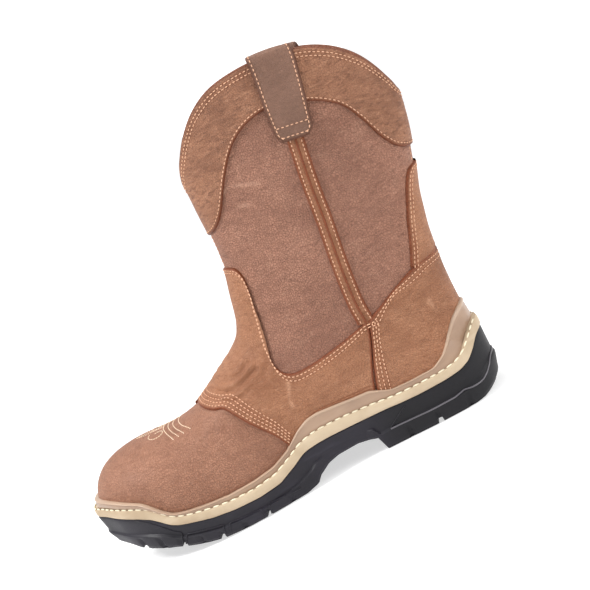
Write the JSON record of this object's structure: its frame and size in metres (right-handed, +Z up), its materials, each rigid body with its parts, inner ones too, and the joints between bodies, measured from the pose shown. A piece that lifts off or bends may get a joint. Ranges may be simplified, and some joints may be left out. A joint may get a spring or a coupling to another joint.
{
  "type": "western work boot",
  "caption": "Left pull-on western work boot: hollow leather shaft with scalloped collar, cuff, saddle and pull straps, on a cupped lug sole with a pale welt and rand.",
  "frame": {"origin": "on the floor under the middle of the boot's box", "axes": "+X from toe to heel, +Y to the inner (medial) side, +Z up"},
  "size_m": [0.3369, 0.1152, 0.279],
  "materials": {
    "pebbled leather": "matt, pebbled",
    "leather": "oiled, smooth",
    "strap leather": "napped",
    "outsole rubber": "satin",
    "welt rubber": "satin",
    "rand rubber": "smooth",
    "footbed": "matt textile"
  },
  "bodies": {
    "root": {"upper": "pebbled leather", "saddle": "leather", "heel_counter": "leather", "back_strip": "leather", "collar_cuff": "leather", "side_seam_lateral": "leather", "side_seam_medial": "leather", "pull_strap_lateral": "strap leather", "pull_strap_medial": "strap leather", "outsole": "outsole rubber", "midsole": "welt rubber", "rand": "rand rubber", "insole": "footbed"}
  },
  "joints": []
}
